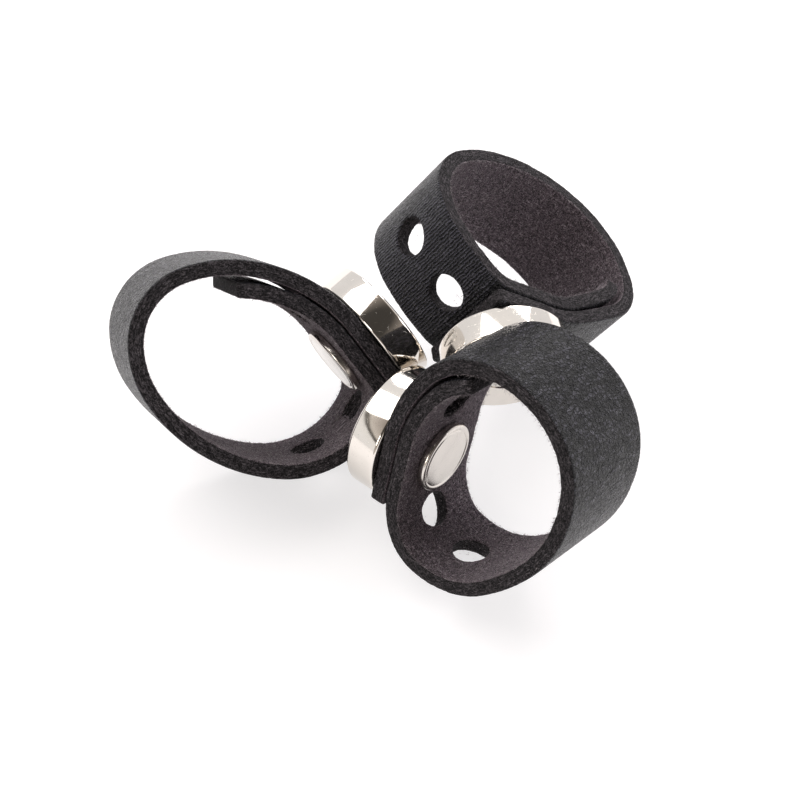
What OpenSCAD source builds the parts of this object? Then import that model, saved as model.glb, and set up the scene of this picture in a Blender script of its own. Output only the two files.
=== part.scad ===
// Three adjustable leather ring thimbles with magnet studs, standing together as a cluster.
// Each ring is a punched strap rolled into a finger loop. A stud clamps its overlapped ends:
// a flat-headed post inside the loop, a countersunk ring magnet outside it, and a screw.
// Every ring is drawn in its own frame: X runs along the strap at the stud, Y points out
// of the loop along the stud, Z runs across the strap, and Y = 0 is the strap's outer face.

/* [Leather strap] */
// Width of a strap
strap_w = 10.6; // [9:0.1:11]
// Thickness of the leather
leather_t = 1.45; // [1.2:0.05:1.6]
// Air between the two overlapped layers
layer_gap = 0.12; // [0.1:0.01:0.2]
// Diameter of the punched holes
punch_d = 3.5; // [3.5:0.1:4]
// Pitch of the adjusting holes
punch_pitch = 6.2; // [5.5:0.1:7]
// Length of strap between the two stud holes, which sets the loop size
loop_len = 63; // [62:0.5:65]
// Strap beyond the stud hole at the outer end
outer_end = 4.4; // [3:0.1:5]
// Strap beyond the stud hole at the inner end
inner_end = 13.5; // [11:0.1:15]
// Length each side of the stud that the stud presses flat
flat_half = 2.5; // [2:0.1:3]

/* [Magnet] */
// Diameter of the magnet
magnet_d = 12; // [10:0.5:12]
// Thickness of the magnet
magnet_t = 3; // [2.5:0.1:3]
// Chamfer on the magnet's rims
magnet_edge = 0.3; // [0.1:0.05:0.5]
// Diameter of the countersink in the magnet's outer face
sink_d = 6; // [5.5:0.1:6.5]

/* [Stud] */
// Diameter of the post's flat head
head_d = 6.7; // [6:0.1:7.5]
// Thickness of the post's flat head
head_t = 0.7; // [0.6:0.1:1]
// Outer diameter of the post's barrel
barrel_d = 3.4; // [3.3:0.05:3.4]
// Diameter of the screw's shank
shank_d = 2.4; // [2.2:0.05:2.45]

/* [Hidden] */

// A loop is a chain of bends, each [length, clockwise turn]. The turns add up to 360.
// The three bends of length 0 get the lengths that close the loop at its full length.
LOOP_1 = [[5, 20], [0, 20], [6.5, 29], [8, 74], [5, 32], [0, 46], [2, 9], [0, 66], [3, 64]];
LOOP_2 = [[3, 23], [0, 6], [5.5, 60], [10, 60], [0, 40], [5, 20], [10.5, 87], [0, 20], [2, 44]];
LOOP_3 = [[8, 31], [0, 59], [4.5, 27], [7.5, 53], [0, 40], [6.5, 19], [7, 52], [0, 47], [4, 32]];
LOOPS = [LOOP_1, LOOP_2, LOOP_3];

// Where each ring stands: its turns about X, Y and Z, then the place of its stud
TURNS = [[155.4, -41.4, 146.8], [-177.8, 31.6, 8.8], [-22.2, -68.6, 70.8]];
PLACES = [[-1.85, 2.95, 11], [11.2, 2.4, 11.75], [3.2, -7.05, 9.3]];

TAIL_BENDS = 3;       // bends of the outer layer that the inner end follows
TAIL_LEAN = 2;        // extra turn of the inner end in each of those bends
SEAT = 0.02;          // air between the stud's parts and the leather
HEAD_EDGE = 0.25;     // chamfer on the rim of the post's head
POST_FIT = 0.05;      // radial running clearance of the post in the magnet
SHANK_FIT = 0.05;     // radial clearance of the shank in the post
SINK_FIT = 0.05;      // how far the screw's head sits below the magnet's face
BARREL_GAP = 0.5;     // from the barrel's end to the start of the countersink
BORE_END = 0.3;       // closed end of the post's bore, measured into the barrel
SLOT_W = 0.7;         // screwdriver slot
SLOT_DEEP = 0.5;
HEAD_FIT = 0.1;       // room round the rim of the post's head
BEND_STEP = 4;        // turn between two marks on a strap's middle line
CUT = 1;              // how far a cutting tool runs past a face
$fn = 96;

pitch_in = leather_t + layer_gap;
stack_t = leather_t + pitch_in;
magnet_bore = barrel_d + 2 * POST_FIT;
sink_deep = (sink_d - magnet_bore) / 2;
barrel_top = magnet_t - sink_deep - BARREL_GAP;
post_bore = shank_d + 2 * SHANK_FIT;

function radians(a) = a * PI / 180;
function total(v, n) = n == 0 ? 0 : v[n - 1] + total(v, n - 1);
function lengths(chain) = [for (b = chain) b[0]];
function turns(chain) = [for (b = chain) b[1]];

// The step along a bend of unit length that starts at heading h and turns clockwise by a
function unit_step(h, a) =
    abs(a) < 0.01 ? [cos(h), sin(h)]
    : [sin(h) - sin(h - a), cos(h - a) - cos(h)] / radians(a);

function column(chain, i) =
    concat(unit_step(-total(turns(chain), i), chain[i][1]), [1]);
function det3(a, b, c) = a * cross(b, c);

// The chain of one loop from stud hole to stud hole, with its three open lengths worked out
function closed_loop(chain) =
    let (open = [for (i = [0:len(chain) - 1]) if (chain[i][0] == 0) i],
         columns = [for (i = [0:len(chain) - 1]) column(chain, i)],
         known = lengths(chain) * columns,
         rest = [-2 * flat_half, -pitch_in, loop_len - 2 * flat_half] - known,
         a = columns[open[0]],
         b = columns[open[1]],
         c = columns[open[2]],
         found = [det3(rest, b, c), det3(a, rest, c), det3(a, b, rest)] / det3(a, b, c))
    concat([[flat_half, 0]],
           [for (i = [0:len(chain) - 1])
               i == open[0] ? [found[0], chain[i][1]]
               : i == open[1] ? [found[1], chain[i][1]]
               : i == open[2] ? [found[2], chain[i][1]]
               : chain[i]],
           [[flat_half, 0]]);

// The inner end runs beside the outer layer's first bends and is cut off at its own length
function tail_bend(b) = [b[0] - pitch_in * radians(b[1]), b[1] + TAIL_LEAN];
function trimmed(chain, room, i = 0) =
    i == len(chain) || room <= 0 ? []
    : chain[i][0] <= room ? concat([chain[i]], trimmed(chain, room - chain[i][0], i + 1))
    : [[room, chain[i][1] * room / chain[i][0]]];
function tail(loop) =
    trimmed(concat([loop[0]], [for (i = [1:TAIL_BENDS]) tail_bend(loop[i])]), inner_end);

// The place [x, y] and heading reached after walking a length s along a chain
function walk(chain, s, at, h = 0, i = 0) =
    i == len(chain) - 1 || s <= chain[i][0]
    ? concat(at + s * unit_step(h, chain[i][1] * s / chain[i][0]),
             [h - chain[i][1] * s / chain[i][0]])
    : walk(chain, s - chain[i][0], at + chain[i][0] * unit_step(h, chain[i][1]),
           h - chain[i][1], i + 1);

// The lengths along a chain where its middle line is marked, and the marks themselves
function stations(chain) =
    concat([0], [for (i = [0:len(chain) - 1])
                     let (n = ceil((chain[i][1] + 0.01) / BEND_STEP))
                         for (k = [1:n]) total(lengths(chain), i) + chain[i][0] * k / n]);
function marks(chain, at) = [for (s = stations(chain)) walk(chain, s, at)];
function beside(spots, d) = [for (p = spots) [p[0] - d * sin(p[2]), p[1] + d * cos(p[2])]];
function backwards(v) = [for (i = [len(v) - 1:-1:0]) v[i]];

// A strip of the given thickness and width along a row of marks
module strip(spots, thick, wide)
    translate([0, 0, -wide / 2])
        linear_extrude(wide)
            polygon(concat(beside(spots, thick / 2), backwards(beside(spots, -thick / 2))));

// A punch through one layer of leather, at a mark on its middle line
module punch(spot)
    translate([spot[0], spot[1], 0])
        rotate([90, 0, spot[2]])
            cylinder(d = punch_d, h = leather_t + 2 * CUT, center = true);

module strap(n) {
    loop = closed_loop(LOOPS[n]);
    inner = tail(loop);
    outer_at = [0, -leather_t / 2];
    inner_at = [0, -leather_t / 2 - pitch_in];
    start = [[-outer_end, -leather_t / 2, 0]];
    outer_layer = concat(start, marks([for (i = [0:TAIL_BENDS]) loop[i]], outer_at));
    whole = concat(start, marks(loop, outer_at), marks(inner, inner_at));
    difference() {
        strip(whole, leather_t, strap_w);
        // the stud's hole goes through both layers
        translate([0, CUT, 0])
            rotate([90, 0, 0])
                cylinder(d = punch_d, h = stack_t + 2 * CUT);
        // the adjusting holes go through the inner layer alone
        difference() {
            union() {
                for (k = [1, 2])
                    punch(walk(loop, loop_len - k * punch_pitch, outer_at));
                punch(walk(inner, punch_pitch, inner_at));
            }
            strip(outer_layer, leather_t + layer_gap, strap_w + CUT);
        }
        // the leather gives under the post's head
        translate([0, -stack_t - SEAT, 0])
            rotate([90, 0, 0])
                cylinder(d = head_d + 2 * HEAD_FIT, h = head_t + CUT);
    }
}

// The stud's parts are turned about the stud's axis, which is Z here and Y in the ring
module magnet()
    rotate_extrude()
        polygon([[magnet_bore / 2, 0],
                 [magnet_d / 2 - magnet_edge, 0],
                 [magnet_d / 2, magnet_edge],
                 [magnet_d / 2, magnet_t - magnet_edge],
                 [magnet_d / 2 - magnet_edge, magnet_t],
                 [sink_d / 2, magnet_t],
                 [magnet_bore / 2, magnet_t - sink_deep]]);

module post() {
    head_top = -stack_t - 2 * SEAT;
    difference() {
        rotate_extrude()
            polygon([[0, head_top - head_t],
                     [head_d / 2 - HEAD_EDGE, head_top - head_t],
                     [head_d / 2, head_top - head_t + HEAD_EDGE],
                     [head_d / 2, head_top],
                     [barrel_d / 2, head_top],
                     [barrel_d / 2, barrel_top],
                     [0, barrel_top]]);
        translate([0, 0, head_top + BORE_END])
            cylinder(d = post_bore, h = stack_t + magnet_t);
    }
}

module screw() {
    face = magnet_t - SINK_FIT;
    head_r = sink_d / 2 - 2 * SINK_FIT;
    head_deep = head_r - shank_d / 2;
    difference() {
        rotate_extrude()
            polygon([[0, BORE_END - stack_t + SINK_FIT],
                     [shank_d / 2, BORE_END - stack_t + SINK_FIT],
                     [shank_d / 2, face - head_deep],
                     [head_r, face],
                     [0, face]]);
        translate([-sink_d / 2, -SLOT_W / 2, face - SLOT_DEEP])
            cube([sink_d, SLOT_W, SLOT_DEEP + CUT]);
    }
}

module in_ring(n)
    translate(PLACES[n])
        rotate(TURNS[n])
            children();

module on_stud(n)
    in_ring(n)
        translate([0, SEAT, 0])
            rotate([-90, 0, 0])
                children();

module leather() color([0.09, 0.085, 0.09]) children();
module nickel() color([0.82, 0.80, 0.77]) children();

module strap_1() leather() in_ring(0) strap(0);
module strap_2() leather() in_ring(1) strap(1);
module strap_3() leather() in_ring(2) strap(2);
module magnet_1() nickel() on_stud(0) magnet();
module magnet_2() nickel() on_stud(1) magnet();
module magnet_3() nickel() on_stud(2) magnet();
module post_1() nickel() on_stud(0) post();
module post_2() nickel() on_stud(1) post();
module post_3() nickel() on_stud(2) post();
module screw_1() nickel() on_stud(0) screw();
module screw_2() nickel() on_stud(1) screw();
module screw_3() nickel() on_stud(2) screw();

strap_1();
magnet_1();
post_1();
screw_1();
strap_2();
magnet_2();
post_2();
screw_2();
strap_3();
magnet_3();
post_3();
screw_3();
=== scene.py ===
import math
import random

import bmesh
import bpy
import numpy as np
from mathutils import Euler, Matrix, Vector, noise


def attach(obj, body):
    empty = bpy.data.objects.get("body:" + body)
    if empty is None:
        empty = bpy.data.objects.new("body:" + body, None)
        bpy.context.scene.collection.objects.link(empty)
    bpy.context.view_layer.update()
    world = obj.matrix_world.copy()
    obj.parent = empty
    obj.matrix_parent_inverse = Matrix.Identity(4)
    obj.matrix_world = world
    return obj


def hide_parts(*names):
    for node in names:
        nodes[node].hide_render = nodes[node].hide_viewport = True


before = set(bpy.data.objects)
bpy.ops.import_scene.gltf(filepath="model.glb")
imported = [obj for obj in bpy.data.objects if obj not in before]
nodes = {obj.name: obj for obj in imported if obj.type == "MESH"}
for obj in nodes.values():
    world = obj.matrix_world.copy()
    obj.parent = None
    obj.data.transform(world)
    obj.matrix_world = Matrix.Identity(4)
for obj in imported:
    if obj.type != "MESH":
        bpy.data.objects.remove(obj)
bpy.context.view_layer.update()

MM = 0.001
rng = random.Random(7)

# ---------------------------------------------------------------- the rings' design values, in mm
STRAP_W = 10.6
LEATHER = 1.45
LAYER_GAP = 0.12      # air between the two overlapped layers
PUNCH_R = 1.75
PITCH = 6.2           # between two adjusting holes
LOOP_LEN = 63.0       # from stud hole to stud hole
OUTER_END = 4.4       # past the stud hole, outside
INNER_END = 13.5      # past the stud hole, inside
FLAT = 2.5            # each side of the stud that stays flat
TAIL_BENDS = 3        # bends of the outer layer that the inner end follows
TAIL_LEAN = 2.0       # extra turn in each of them, in degrees
PITCH_IN = LEATHER + LAYER_GAP
STACK = LEATHER + PITCH_IN
HEAD_R = 3.35         # the post's head
HEAD_T = 0.7
SEAT = 0.02           # air between the stud's parts and the leather
VOXEL = 0.15          # mesh size of the leather
FACE_LIMIT = 0.62     # how squarely a face must look up or down to be grain or flesh
NAP_FIBRES = 4000     # tries at a fibre on one strap's flesh side
EDGE_FIBRES = 60      # loose fibres on its cut edges
FIBRE_ROOM = 0.6      # kept clear of fibres round the post's head
RING_SHIFT = 90.0     # sets the three straps' leather patterns apart
# each bend is (length, clockwise turn), and length 0 is worked out from the loop's closure
LOOPS = {
    1: ((5, 20), (0, 20), (6.5, 29), (8, 74), (5, 32), (0, 46), (2, 9), (0, 66), (3, 64)),
    2: ((3, 23), (0, 6), (5.5, 60), (10, 60), (0, 40), (5, 20), (10.5, 87), (0, 20), (2, 44)),
    3: ((8, 31), (0, 59), (4.5, 27), (7.5, 53), (0, 40), (6.5, 19), (7, 52), (0, 47), (4, 32)),
}
TURNS = {1: (155.4, -41.4, 146.8), 2: (-177.8, 31.6, 8.8), 3: (-22.2, -68.6, 70.8)}
PLACES = {1: (-1.85, 2.95, 11), 2: (11.2, 2.4, 11.75), 3: (3.2, -7.05, 9.3)}


def step(h, a):
    """The step along a bend of unit length that starts at heading h and turns clockwise by a."""
    if abs(a) < 1e-6:
        return np.array([math.cos(h), math.sin(h)])
    return np.array([math.sin(h) - math.sin(h - a), math.cos(h - a) - math.cos(h)]) / a


def closed(chain):
    """The chain with its open lengths worked out, so that the loop closes at its full length."""
    turn = [math.radians(b[1]) for b in chain]
    head = [-sum(turn[:i]) for i in range(len(chain))]
    cols = np.array([np.append(step(h, a), 1.0) for h, a in zip(head, turn)])
    length = np.array([float(b[0]) for b in chain])
    free = [i for i, b in enumerate(chain) if b[0] == 0]
    rest = np.array([-2 * FLAT, -PITCH_IN, LOOP_LEN - 2 * FLAT]) - length @ cols
    length[free] = np.linalg.solve(cols[free].T, rest)
    return list(zip(length, turn))


def middle_line(chain):
    """Stations along the whole strap's middle line: length, x, y and heading."""
    loop = closed(chain)
    lean = math.radians(TAIL_LEAN)
    tail = [(l - PITCH_IN * a, a + lean) for l, a in loop[:TAIL_BENDS]]
    runs = [(OUTER_END, 0.0), (FLAT, 0.0)] + loop + [(FLAT, 0.0), (FLAT, 0.0)] + tail
    s, p, h = -OUTER_END, np.array([-OUTER_END, -LEATHER / 2]), 0.0
    rows = [(s - 0.5, p[0] - 0.5, p[1], h), (s, p[0], p[1], h)]
    for length, turn in runs:
        count = max(2, int(length / 0.08))
        for _ in range(count):
            p = p + step(h, turn / count) * length / count
            h -= turn / count
            s += length / count
            rows.append((s, p[0], p[1], h))
    return np.array(rows).T


def rolled(points, line):
    """Flat strap points (length, depth, width) rolled into the loop's own frame."""
    s, d, a = points.T
    x = np.interp(s, line[0], line[1])
    y = np.interp(s, line[0], line[2])
    h = np.interp(s, line[0], line[3])
    x = x - d * np.sin(h)
    y = y + d * np.cos(h)
    # the leather gives under the post's head
    r = np.hypot(x, a)
    limit = -STACK - 1.1 * np.maximum(r - HEAD_R - 0.15, 0) ** 2
    near = np.abs(s - LOOP_LEN) < 9
    y = np.where(near, np.maximum(y, limit), y)
    return np.stack([x, y, a], 1)


def ring_matrix(k):
    turn = Euler([math.radians(v) for v in TURNS[k]], "XYZ").to_matrix().to_4x4()
    return Matrix.Translation(Vector(PLACES[k]) * MM) @ turn


def place(points, k):
    """Ring-frame points in mm to row-frame points in metres."""
    m = np.array(ring_matrix(k))
    return points * MM @ m[:3, :3].T + m[:3, 3]


def new_object(name, mesh, body, materials):
    ob = bpy.data.objects.new(name, mesh)
    bpy.context.scene.collection.objects.link(ob)
    for m in materials:
        mesh.materials.append(m)
    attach(ob, body)
    return ob


# ---------------------------------------------------------------- material helpers
class Nodes:
    def __init__(self, name):
        self.mat = bpy.data.materials.new(name)
        self.mat.use_nodes = True
        self.tree = self.mat.node_tree
        self.shader = self.tree.nodes["Principled BSDF"]

    def add(self, kind, **values):
        n = self.tree.nodes.new(kind)
        for key, v in values.items():
            if hasattr(n, key):
                setattr(n, key, v)
            else:
                n.inputs[key.replace("_", " ")].default_value = v
        return n

    def link(self, a, b):
        self.tree.links.new(a, b)

    def flat(self, scale=(1, 1, 1)):
        """The strap's own coordinates: mm along it, through it and across it."""
        at = self.add("ShaderNodeAttribute", attribute_name="flat")
        m = self.add("ShaderNodeMapping")
        m.inputs["Scale"].default_value = scale
        self.link(at.outputs["Vector"], m.inputs["Vector"])
        return m.outputs["Vector"]

    def local(self, scale=(1, 1, 1)):
        tc = self.add("ShaderNodeTexCoord")
        m = self.add("ShaderNodeMapping")
        m.inputs["Scale"].default_value = [v * 1000 for v in scale]
        self.link(tc.outputs["Object"], m.inputs["Vector"])
        return m.outputs["Vector"]

    def noise(self, vec, scale, detail=2.0, rough=0.5, distort=0.0):
        n = self.add("ShaderNodeTexNoise")
        self.link(vec, n.inputs["Vector"])
        n.inputs["Scale"].default_value = scale
        n.inputs["Detail"].default_value = detail
        n.inputs["Roughness"].default_value = rough
        n.inputs["Distortion"].default_value = distort
        return n.outputs["Fac"]

    def voronoi(self, vec, scale, feature="F1"):
        n = self.add("ShaderNodeTexVoronoi", feature=feature)
        self.link(vec, n.inputs["Vector"])
        n.inputs["Scale"].default_value = scale
        return n.outputs["Distance"]

    def ramp(self, value, stops):
        n = self.add("ShaderNodeValToRGB")
        self.link(value, n.inputs["Fac"])
        e = n.color_ramp.elements
        while len(e) < len(stops):
            e.new(0.5)
        for el, (pos, col) in zip(e, stops):
            el.position = pos
            el.color = (*col, 1) if len(col) == 3 else col
        return n.outputs["Color"]

    def span(self, value, low, high, to_low, to_high):
        n = self.add("ShaderNodeMapRange")
        self.link(value, n.inputs["Value"])
        for key, v in zip(("From Min", "From Max", "To Min", "To Max"), (low, high, to_low, to_high)):
            n.inputs[key].default_value = v
        return n.outputs["Result"]

    def math(self, op, a, b):
        n = self.add("ShaderNodeMath", operation=op)
        for i, v in enumerate((a, b)):
            if hasattr(v, "is_output"):
                self.link(v, n.inputs[i])
            else:
                n.inputs[i].default_value = v
        return n.outputs[0]

    def mix(self, fac, a, b):
        n = self.add("ShaderNodeMix", data_type="RGBA")
        for sock, v in ((n.inputs[0], fac), (n.inputs[6], a), (n.inputs[7], b)):
            if hasattr(v, "is_output"):
                self.link(v, sock)
            else:
                sock.default_value = v if isinstance(v, float) else (*v, 1)
        return n.outputs[2]

    def bump(self, height, distance, strength=1.0, after=None):
        n = self.add("ShaderNodeBump")
        self.link(height, n.inputs["Height"])
        n.inputs["Distance"].default_value = distance * MM
        n.inputs["Strength"].default_value = strength
        if after is not None:
            self.link(after, n.inputs["Normal"])
        return n.outputs["Normal"]

    def done(self, color, rough, normal, **fixed):
        self.link(color, self.shader.inputs["Base Color"])
        self.link(rough, self.shader.inputs["Roughness"])
        if normal is not None:
            self.link(normal, self.shader.inputs["Normal"])
        for key, v in fixed.items():
            self.shader.inputs[key.replace("_", " ")].default_value = v
        return self.mat


def grain_leather():
    """Finished outer face: fine pebbles with creases, satin black, with painted shade in the creases
    and painted highlights on the pebble tops and the bent-in ridges.
    """
    n = Nodes("leather_grain")
    vec = n.flat()
    bend = n.noise(vec, 0.9, 3.0, 0.55)
    wobble = n.add("ShaderNodeVectorMath", operation="SCALE")
    col = n.add("ShaderNodeTexNoise")
    n.link(vec, col.inputs["Vector"])
    col.inputs["Scale"].default_value = 2.2
    n.link(col.outputs["Color"], wobble.inputs[0])
    wobble.inputs["Scale"].default_value = 0.35
    moved = n.add("ShaderNodeVectorMath", operation="ADD")
    n.link(vec, moved.inputs[0])
    n.link(wobble.outputs[0], moved.inputs[1])
    cells = n.voronoi(moved.outputs[0], 2.3, "DISTANCE_TO_EDGE")
    small = n.voronoi(moved.outputs[0], 5.2, "DISTANCE_TO_EDGE")
    pebble = n.span(cells, 0.0, 0.17, 0.0, 1.0)
    fine = n.span(small, 0.0, 0.2, 0.0, 1.0)
    crease = n.noise(n.flat((2.6, 1.0, 0.55)), 1.15, 4.0, 0.6, 0.6)
    height = n.math("ADD", n.math("MULTIPLY", pebble, 0.42), n.math("MULTIPLY", fine, 0.18))
    height = n.math("ADD", height, n.span(crease, 0.36, 0.64, 0.0, 0.5))
    # fine ridges across the strap where it bends inwards, beside the stud, with a painted highlight on
    # their tops
    along = n.add("ShaderNodeSeparateXYZ")
    n.link(vec, along.inputs[0])
    place_on = n.math("MODULO", along.outputs["X"], RING_SHIFT)
    bent_in = n.math("MULTIPLY", n.span(place_on, 43, 50, 0, 1), n.span(place_on, 58, 61, 1, 0))
    ridge = n.add("ShaderNodeTexWave", Scale=1.1, Distortion=3.5, Detail=2.0, Detail_Scale=1.6)
    n.link(vec, ridge.inputs["Vector"])
    ridges_and_glint = n.math("MULTIPLY", n.math("MULTIPLY", ridge.outputs["Fac"], bent_in), 0.5)
    height = n.math("ADD", height, n.math("SUBTRACT", ridges_and_glint, n.math("MULTIPLY", bent_in, 0.2)))
    nrm = n.bump(n.noise(vec, 0.35, 2.0), 0.25, 0.5)
    nrm = n.bump(height, 0.34, 1.0, nrm)
    # painted shade and painted highlight: the colour follows the bump's height, near black in the
    # creases and lighter on the pebble tops
    base = n.ramp(height, [(0.35, (0.0006, 0.0006, 0.0008)), (0.7, (0.006, 0.0058, 0.0075)),
                           (0.98, (0.075, 0.072, 0.09))])
    base = n.mix(n.span(bend, 0.35, 0.7, 0.0, 0.4), base, (0.012, 0.0115, 0.0135))
    # painted highlight: bluish white on the ridge tops, standing in for their glints
    base = n.mix(n.span(ridges_and_glint, 0.27, 0.5, 0.0, 0.6), base, (0.11, 0.105, 0.14))
    rough = n.span(n.math("ADD", n.math("MULTIPLY", pebble, -0.5), bend), -0.2, 0.7, 0.22, 0.4)
    return n.done(base, rough, nrm, Specular_IOR_Level=0.26)


def flesh_leather():
    """Brushed inner face: short fibres, dark mauve grey with lighter flecks."""
    n = Nodes("leather_flesh")
    vec = n.flat()
    long_fibre = n.noise(n.flat((1.0, 1.0, 3.4)), 2.6, 5.0, 0.75, 1.2)
    cross_fibre = n.noise(n.flat((3.2, 1.0, 1.0)), 2.9, 5.0, 0.75, 1.4)
    fleck = n.noise(vec, 7.5, 4.0, 0.8)
    patch = n.noise(vec, 0.55, 3.0, 0.6)
    mixed = n.math("MAXIMUM", long_fibre, cross_fibre)
    height = n.math("ADD", n.math("MULTIPLY", mixed, 0.8), n.math("MULTIPLY", fleck, 0.45))
    base = n.ramp(height, [(0.585, (0.005, 0.004, 0.0047)), (0.65, (0.07, 0.054, 0.063)),
                           (0.72, (0.25, 0.205, 0.23)), (0.82, (0.62, 0.54, 0.58))])
    base = n.mix(n.span(patch, 0.35, 0.7, 0.0, 0.15), base, (0.1, 0.078, 0.09))
    nrm = n.bump(height, 0.2, 1.0)
    rough = n.span(mixed, 0.3, 0.8, 0.85, 0.97)
    return n.done(base, rough, nrm, Specular_IOR_Level=0.12, Sheen_Weight=0.08, Sheen_Roughness=0.5)


def cut_leather():
    """Cut edge: dyed fibre, near black with open pits and dull flecks."""
    n = Nodes("leather_cut")
    vec = n.flat()
    pits = n.voronoi(n.flat((1.0, 1.7, 1.0)), 3.4, "F1")
    fibre = n.noise(n.flat((0.8, 2.4, 1.0)), 3.1, 6.0, 0.75, 0.8)
    fleck = n.noise(vec, 8.0, 3.0, 0.8)
    height = n.math("ADD", n.span(pits, 0.0, 0.4, 0.0, 0.7), n.math("MULTIPLY", fibre, 0.8))
    base = n.ramp(fibre, [(0.4, (0.0015, 0.0014, 0.0015)), (0.52, (0.013, 0.0118, 0.013)),
                          (0.64, (0.11, 0.098, 0.106))])
    base = n.mix(n.span(fleck, 0.53, 0.63, 0.0, 0.45), base, (0.14, 0.125, 0.134))
    nrm = n.bump(height, 0.14, 0.9)
    rough = n.span(fibre, 0.3, 0.75, 0.72, 0.95)
    return n.done(base, rough, nrm, Specular_IOR_Level=0.1, Sheen_Weight=0.02, Sheen_Roughness=0.5)


def fibre_mat():
    n = Nodes("leather_fibre")
    tint = n.noise(n.local(), 1.7, 2.0)
    base = n.ramp(tint, [(0.3, (0.09, 0.078, 0.084)), (0.7, (0.4, 0.36, 0.37))])
    rough = n.span(tint, 0.3, 0.7, 0.7, 0.9)
    return n.done(base, rough, None, Specular_IOR_Level=0.3)


def nickel(name, tone, low, high, swirl):
    """Bright nickel plate: soft waviness, fine handling scratches, a few dull marks."""
    n = Nodes(name)
    vec = n.local()
    cloud = n.noise(vec, 0.35, 3.0, 0.6)
    scratch = n.noise(n.local((0.25, 6.0, 1.3)), 2.2, 3.0, 0.7, 0.5)
    scratch_b = n.noise(n.local((5.0, 0.3, 1.1)), 2.0, 3.0, 0.7, 0.6)
    lines = n.math("MAXIMUM", n.span(scratch, 0.66, 0.74, 0.0, 1.0),
                   n.span(scratch_b, 0.68, 0.76, 0.0, 1.0))
    pits = n.span(n.voronoi(vec, 1.6, "F1"), 0.0, 0.1, 1.0, 0.0)
    marks = n.math("ADD", lines, pits)
    base = n.mix(n.span(cloud, 0.35, 0.7, 0.0, 0.35), tone, tuple(v * 0.85 for v in tone))
    base = n.mix(n.math("MULTIPLY", pits, 0.5), base, (0.35, 0.31, 0.26))
    rough = n.math("ADD", n.span(cloud, 0.3, 0.75, low, high), n.math("MULTIPLY", marks, 0.1))
    nrm = n.bump(n.noise(vec, 0.5, 2.0), 0.05, swirl)
    nrm = n.bump(marks, 0.006, 0.5, nrm)
    return n.done(base, rough, nrm, Metallic=1.0)


GRAIN, FLESH, CUT = grain_leather(), flesh_leather(), cut_leather()
FIBRE = fibre_mat()
PLATE = nickel("nickel_plate", (0.79, 0.745, 0.69), 0.05, 0.12, 0.15)
STUD = nickel("nickel_stud", (0.7, 0.66, 0.615), 0.16, 0.3, 0.3)
SCREW = nickel("nickel_screw", (0.70, 0.67, 0.62), 0.18, 0.32, 0.6)


# ---------------------------------------------------------------- straps
def flat_strap():
    """The strap laid flat, in mm: punched, with its cut edges eased. X runs along it, Y through it."""
    bm = bmesh.new()
    bmesh.ops.create_cube(bm, size=1)
    total = OUTER_END + LOOP_LEN + INNER_END
    for v in bm.verts:
        v.co = Vector((v.co.x * total + total / 2 - OUTER_END, v.co.y * LEATHER, v.co.z * STRAP_W))
    corners = [e for e in bm.edges if abs(e.verts[0].co.y - e.verts[1].co.y) > 1]
    bmesh.ops.bevel(bm, geom=corners, offset=0.5, segments=4, profile=0.5, affect="EDGES")
    mesh = bpy.data.meshes.new("flat_strap")
    bm.to_mesh(mesh)
    bm.free()
    ob = bpy.data.objects.new("flat_strap", mesh)
    bm = bmesh.new()
    for s in (0, LOOP_LEN - 2 * PITCH, LOOP_LEN - PITCH, LOOP_LEN, LOOP_LEN + PITCH):
        spot = Matrix.Translation((s, 0, 0)) @ Matrix.Rotation(math.pi / 2, 4, "X")
        bmesh.ops.create_cone(bm, cap_ends=True, segments=48, radius1=PUNCH_R, radius2=PUNCH_R,
                              depth=LEATHER * 3, matrix=spot)
    cutter_mesh = bpy.data.meshes.new("punches")
    bm.to_mesh(cutter_mesh)
    bm.free()
    cutter = bpy.data.objects.new("punches", cutter_mesh)
    scene = bpy.context.scene.collection
    scene.objects.link(ob)
    scene.objects.link(cutter)
    cut = ob.modifiers.new("punched", "BOOLEAN")
    cut.operation, cut.object, cut.solver = "DIFFERENCE", cutter, "EXACT"
    remesh = ob.modifiers.new("even", "REMESH")
    remesh.mode, remesh.voxel_size = "VOXEL", VOXEL
    ease = ob.modifiers.new("eased", "SMOOTH")
    ease.factor, ease.iterations = 0.5, 2
    dg = bpy.context.evaluated_depsgraph_get()
    result = bpy.data.meshes.new_from_object(ob.evaluated_get(dg))
    bpy.data.objects.remove(ob)
    bpy.data.objects.remove(cutter)
    return result


def strap_faces(mesh):
    """Material index of each face of the flat strap: 0 grain, 1 flesh, 2 cut."""
    up = np.empty(len(mesh.polygons) * 3)
    mesh.polygons.foreach_get("normal", up)
    up = up.reshape(-1, 3)[:, 1]
    return np.where(up > FACE_LIMIT, 0, np.where(up < -FACE_LIMIT, 1, 2)).astype(np.int32)


def worn(points, seed):
    """Small unevenness of a real cut strap: wavy cut edges, pebbled grain, raised nap."""
    out = points.copy()
    for i, (s, d, a) in enumerate(points):
        edge = abs(a) / (STRAP_W / 2)
        if edge > 0.9:
            wave = noise.noise((s * 0.45, seed, math.copysign(9, a))) * 0.09
            nick = noise.noise((s * 2.7, d * 2.2 + seed, a)) * 0.06
            out[i, 2] -= math.copysign(abs(wave) + abs(nick), a) * (edge - 0.9) * 10
        if d > 0.4:
            out[i, 1] -= abs(noise.noise((s * 2.6, seed * 3.1, a * 2.6))) * 0.05
        elif d < -0.4:
            out[i, 1] += noise.noise((s * 3.3, seed * 5.3, a * 3.3)) * 0.045 + 0.02
    return out


flat_mesh = flat_strap()
flat_points = np.empty(len(flat_mesh.vertices) * 3)
flat_mesh.vertices.foreach_get("co", flat_points)
flat_points = flat_points.reshape(-1, 3)
face_kinds = strap_faces(flat_mesh)


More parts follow.
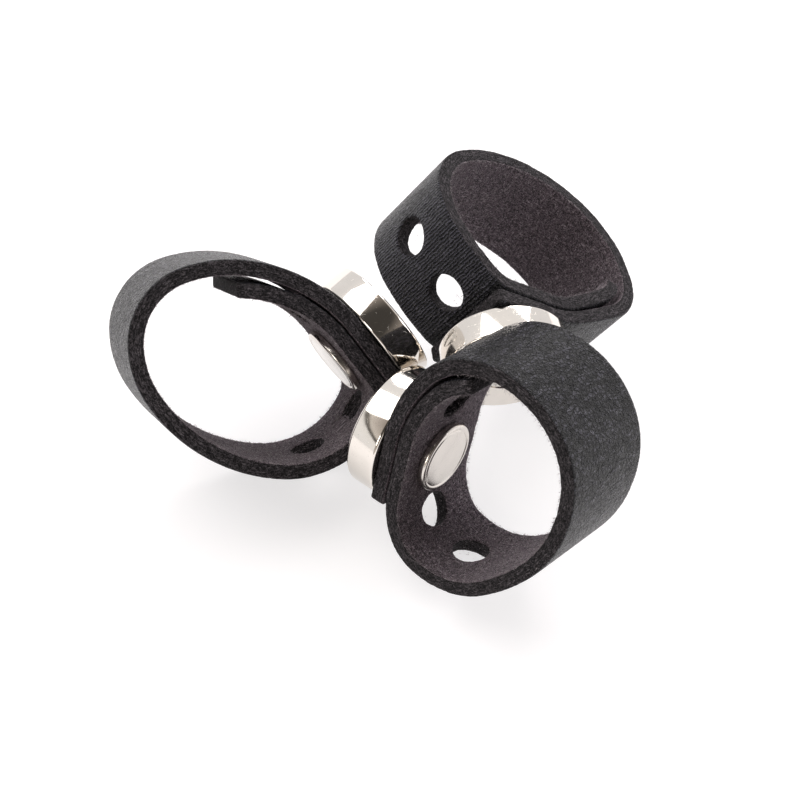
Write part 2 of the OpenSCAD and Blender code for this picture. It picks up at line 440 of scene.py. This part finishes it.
def strap(k):
    line = middle_line(LOOPS[k])
    mesh = flat_mesh.copy()
    mesh.name = f"leather_{k}"
    points = place(rolled(worn(flat_points, k * 7.7), line), k)
    mesh.vertices.foreach_set("co", points.ravel())
    flat = mesh.attributes.new("flat", "FLOAT_VECTOR", "POINT")
    shifted = flat_points + np.array([k * RING_SHIFT, 0, 0])
    flat.data.foreach_set("vector", shifted.ravel())
    mesh.polygons.foreach_set("material_index", face_kinds)
    mesh.polygons.foreach_set("use_smooth", np.ones(len(mesh.polygons), dtype=bool))
    mesh.update()
    ob = new_object(f"leather_{k}", mesh, f"ring_{k}", [GRAIN, FLESH, CUT])
    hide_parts(f"strap_{k}")
    return line


# ---------------------------------------------------------------- loose fibres
def fibre(verts, faces, root, way, length, thick, line):
    """One tapered three-sided fibre from a flat-strap point, curling a little."""
    side = Vector((rng.uniform(-1, 1), rng.uniform(-1, 1), rng.uniform(-1, 1))).normalized()
    curl = Vector((rng.uniform(-1, 1), rng.uniform(-1, 1), rng.uniform(-1, 1))) * 0.5
    rings = 4
    start = len(verts)
    for i in range(rings):
        t = i / (rings - 1)
        mid = root + way * (length * t) + curl * (length * t * t)
        r = thick * (1 - 0.8 * t)
        u = way.cross(side).normalized()
        w = way.cross(u).normalized()
        for j in range(3):
            turn = j * math.tau / 3
            verts.append(mid + (u * math.cos(turn) + w * math.sin(turn)) * r)
    for i in range(rings - 1):
        for j in range(3):
            a, b = start + i * 3 + j, start + i * 3 + (j + 1) % 3
            faces.append((a, b, b + 3, a + 3))
    faces.append((start + 2, start + 1, start))
    last = start + (rings - 1) * 3
    faces.append((last, last + 1, last + 2))


def under_layer(s):
    """True where the outer layer's flesh side lies on the inner layer."""
    return s < INNER_END + 0.3


def fuzz(k, line):
    verts, faces = [], []
    half = STRAP_W / 2
    total_low, total_high = -OUTER_END, LOOP_LEN + INNER_END
    for _ in range(NAP_FIBRES):
        s = rng.uniform(total_low, total_high)
        if under_layer(s):
            continue
        clear_of_head = abs(s - LOOP_LEN) > HEAD_R + FIBRE_ROOM
        kind = rng.random()
        if kind < 0.45:
            a = math.copysign(half - rng.uniform(0.0, 0.15), rng.uniform(-1, 1))
            root = Vector((s, -LEATHER / 2 + rng.uniform(0.0, 0.12), a))
            way = Vector((rng.uniform(-1, 1), -rng.uniform(0.2, 1),
                          math.copysign(rng.uniform(0, 0.7), a)))
            length = rng.uniform(0.08, 0.3)
        else:
            a = rng.uniform(-half, half) * 0.98
            if not clear_of_head and abs(a) < HEAD_R + FIBRE_ROOM:
                continue
            root = Vector((s, -LEATHER / 2 + 0.04, a))
            way = Vector((rng.uniform(-1, 1), -rng.uniform(0.08, 0.5), rng.uniform(-1, 1)))
            length = rng.uniform(0.1, 0.4)
        fibre(verts, faces, root, way.normalized(), length, rng.uniform(0.01, 0.022), line)
    for _ in range(EDGE_FIBRES):
        a = math.copysign(half - 0.05, rng.uniform(-1, 1))
        s = rng.uniform(INNER_END + 1, LOOP_LEN)
        root = Vector((s, rng.uniform(-0.6, 0.5), a))
        way = Vector((rng.uniform(-1, 1), rng.uniform(-0.5, 0.5), math.copysign(0.6, a))).normalized()
        fibre(verts, faces, root, way, rng.uniform(0.12, 0.38), 0.012, line)
    points = rolled(np.array([tuple(v) for v in verts]), line)
    mesh = bpy.data.meshes.new(f"fibres_{k}")
    mesh.from_pydata([tuple(p) for p in place(points, k)], [], faces)
    new_object(f"fibres_{k}", mesh, f"ring_{k}", [FIBRE])


# ---------------------------------------------------------------- turned metal
def rounded(profile, radii, steps=6):
    """The profile's corners rounded to the given radii."""
    out = []
    n = len(profile)
    for i, (p, r) in enumerate(zip(profile, radii)):
        p = Vector(p)
        if r == 0 or i in (0, n - 1):
            out.append(p)
            continue
        a = (Vector(profile[i - 1]) - p).normalized()
        b = (Vector(profile[i + 1]) - p).normalized()
        half = a.angle(b) / 2
        cut = r / math.tan(half)
        centre = p + (a + b).normalized() * r / math.sin(half)
        start = p + a * cut
        end = p + b * cut
        sweep = (start - centre).angle_signed(end - centre)
        for j in range(steps + 1):
            v = start - centre
            v.rotate(Matrix.Rotation(-sweep * j / steps, 2))
            out.append(centre + v)
    return out


def turned(name, profile, k, body, material, loop=True, segments=160):
    """A solid of revolution about the stud's axis. The profile is (radius, height) in mm."""
    verts, faces = [], []
    m = ring_matrix(k)
    rows = []
    for r, z in profile:
        if r < 1e-6:
            rows.append([len(verts)])
            verts.append(m @ (Vector((0, z, 0)) * MM))
            continue
        row = []
        for j in range(segments):
            t = math.tau * j / segments
            row.append(len(verts))
            verts.append(m @ (Vector((r * math.sin(t), z, r * math.cos(t))) * MM))
        rows.append(row)
    pairs = list(zip(rows, rows[1:] + ([rows[0]] if loop else [])))
    if not loop:
        pairs = pairs[:len(rows) - 1]
    for a, b in pairs:
        if len(a) == 1 and len(b) == 1:
            continue
        for j in range(segments):
            n = (j + 1) % segments
            if len(a) == 1:
                faces.append((a[0], b[j], b[n]))
            elif len(b) == 1:
                faces.append((a[n], a[j], b[0]))
            else:
                faces.append((a[n], a[j], b[j], b[n]))
    mesh = bpy.data.meshes.new(name)
    mesh.from_pydata(verts, [], faces)
    bm = bmesh.new()
    bm.from_mesh(mesh)
    bmesh.ops.recalc_face_normals(bm, faces=bm.faces)
    for f in bm.faces:
        f.smooth = True
    bm.to_mesh(mesh)
    bm.free()
    return new_object(name, mesh, body, [material])


MAGNET_T = 3.0
MAGNET_R = 6.0
BORE_R = 1.75
SINK_R = 3.0
SINK_DEEP = SINK_R - BORE_R
BARREL_R = 1.7
BARREL_TOP = MAGNET_T - SINK_DEEP - 0.5
SHANK_R = 1.2


def magnet(k):
    prof = rounded(
        [(BORE_R, SEAT), (BORE_R, MAGNET_T + SEAT - SINK_DEEP), (SINK_R, MAGNET_T + SEAT),
         (MAGNET_R, MAGNET_T + SEAT), (MAGNET_R, SEAT), (BORE_R, SEAT)],
        [0, 0.08, 0.1, 0.28, 0.28, 0])[:-1]
    ob = turned(f"disc_{k}", prof, k, f"stud_{k}", PLATE)
    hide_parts(f"magnet_{k}")


def post(k):
    top = -STACK - SEAT
    face = top - HEAD_T
    prof = rounded(
        [(0, face), (2.72, face), (2.84, face + 0.07), (2.98, face), (HEAD_R, face), (HEAD_R, top),
         (BARREL_R, top), (BARREL_R, BARREL_TOP), (SHANK_R + 0.05, BARREL_TOP),
         (SHANK_R + 0.05, top + 0.3), (0, top + 0.3)],
        [0, 0.03, 0.03, 0.04, 0.24, 0.1, 0.08, 0.12, 0.08, 0.1, 0])
    ob = turned(f"head_post_{k}", prof, k, f"stud_{k}", STUD, loop=False)
    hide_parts(f"post_{k}")


def screw(k):
    face = MAGNET_T + SEAT - 0.05
    head_r = SINK_R - 0.1
    base = -STACK - SEAT + 0.35
    prof = rounded(
        [(0, base), (SHANK_R - 0.25, base), (SHANK_R, base + 0.3), (SHANK_R, face - (head_r - SHANK_R)),
         (head_r, face), (0, face)],
        [0, 0.05, 0.05, 0.1, 0.06, 0])
    ob = turned(f"slotted_screw_{k}", prof, k, f"stud_{k}", SCREW, loop=False)
    bm = bmesh.new()
    slot = ring_matrix(k) @ Matrix.Translation(Vector((0, face, 0)) * MM)
    bmesh.ops.create_cube(bm, size=1, matrix=slot @ Matrix.Diagonal((8 * MM, 1.0 * MM, 0.7 * MM, 1)))
    mesh = bpy.data.meshes.new("slot_cutter")
    bm.to_mesh(mesh)
    bm.free()
    cutter = bpy.data.objects.new("slot_cutter", mesh)
    bpy.context.scene.collection.objects.link(cutter)
    cut = ob.modifiers.new("slotted", "BOOLEAN")
    cut.operation, cut.object, cut.solver = "DIFFERENCE", cutter, "EXACT"
    dg = bpy.context.evaluated_depsgraph_get()
    done = bpy.data.meshes.new_from_object(ob.evaluated_get(dg))
    ob.modifiers.clear()
    ob.data = done
    bpy.data.objects.remove(cutter)
    for f in done.polygons:
        f.use_smooth = True
    edge = ob.modifiers.new("edge", "BEVEL")
    edge.width, edge.segments, edge.limit_method = 0.03 * MM, 2, "ANGLE"
    edge.angle_limit = math.radians(40)
    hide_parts(f"screw_{k}")


for k in (1, 2, 3):
    mid = strap(k)
    fuzz(k, mid)
    magnet(k)
    post(k)
    screw(k)

# ---------------------------------------------------------------- floor, light and camera
scene = bpy.context.scene
scene.view_settings.view_transform = "Standard"
scene.view_settings.look = "None"

bm = bmesh.new()
bmesh.ops.create_grid(bm, x_segments=2, y_segments=2, size=1.5)
floor_mesh = bpy.data.meshes.new("floor")
bm.to_mesh(floor_mesh)
bm.free()
floor = bpy.data.objects.new("floor", floor_mesh)
scene.collection.objects.link(floor)
paper = Nodes("paper")
shade = paper.noise(paper.local(), 0.02, 2.0)
tone = paper.mix(paper.span(shade, 0.3, 0.7, 0.0, 1.0), (0.45, 0.44, 0.445), (0.47, 0.46, 0.465))
floor_mesh.materials.append(paper.done(tone, paper.span(shade, 0, 1, 0.75, 0.85), None,
                                       Specular_IOR_Level=0.1, Emission_Color=(1, 0.99, 0.995, 1),
                                       Emission_Strength=0.66))


def area(name, place_at, target, size, power, colour):
    data = bpy.data.lights.new(name, "AREA")
    data.shape, data.size, data.size_y = "RECTANGLE", size[0], size[1]
    data.energy, data.color = power, colour
    ob = bpy.data.objects.new(name, data)
    ob.location = place_at
    ob.rotation_euler = (Vector(target) - Vector(place_at)).to_track_quat("-Z", "Y").to_euler()
    scene.collection.objects.link(ob)


centre = Vector((0, 0, 0.013))
area("key", (-0.22, 0.10, 0.42), centre, (0.34, 0.34), 1.1, (1.0, 0.985, 0.97))
area("back", (0.10, 0.36, 0.26), centre, (0.30, 0.18), 1.3, (1.0, 0.97, 0.97))
area("side", (0.34, -0.10, 0.22), centre, (0.16, 0.22), 0.5, (0.96, 0.96, 1.0))
area("front", (-0.25, -0.34, 0.20), centre, (0.14, 0.14), 0.35, (1.0, 0.95, 0.88))

# a white tent that is darker round the camera, so that the plated faces pick up crisp bands
right = Vector((0.9974, 0.0, 0.0721))
up = Vector((-0.0424, 0.8086, 0.5868))
back = right.cross(up)
world = bpy.data.worlds.new("studio")
scene.world = world
world.use_nodes = True
tree = world.node_tree
facing = tree.nodes.new("ShaderNodeVectorMath")
facing.operation = "DOT_PRODUCT"
tree.links.new(tree.nodes.new("ShaderNodeTexCoord").outputs["Generated"], facing.inputs[0])
facing.inputs[1].default_value = back
tent = tree.nodes.new("ShaderNodeValToRGB")
tree.links.new(facing.outputs["Value"], tent.inputs["Fac"])
stops = [(0.0, (0.9, 0.89, 0.9)), (0.35, (1.0, 0.985, 0.98)), (0.49, (0.98, 0.96, 0.94)),
         (0.505, (0.1, 0.09, 0.08)), (0.545, (0.1, 0.09, 0.08)), (0.56, (0.8, 0.74, 0.68)),
         (0.7, (0.42, 0.37, 0.33)), (0.9, (0.06, 0.055, 0.05))]
while len(tent.color_ramp.elements) < len(stops):
    tent.color_ramp.elements.new(0.5)
for el, (spot, col) in zip(tent.color_ramp.elements, stops):
    el.position, el.color = spot, (*col, 1)
tree.links.new(tent.outputs["Color"], tree.nodes["Background"].inputs["Color"])
tree.nodes["Background"].inputs["Strength"].default_value = 1.0

cam_data = bpy.data.cameras.new("camera")
cam_data.lens, cam_data.sensor_width = 72.3, 36
cam_data.clip_start, cam_data.clip_end = 0.005, 10
cam = bpy.data.objects.new("camera", cam_data)
turn = Matrix((right, up, back)).transposed().to_4x4()
cam.matrix_world = Matrix.Translation((-0.00673, -0.08964, 0.12833)) @ turn
scene.collection.objects.link(cam)
scene.camera = cam
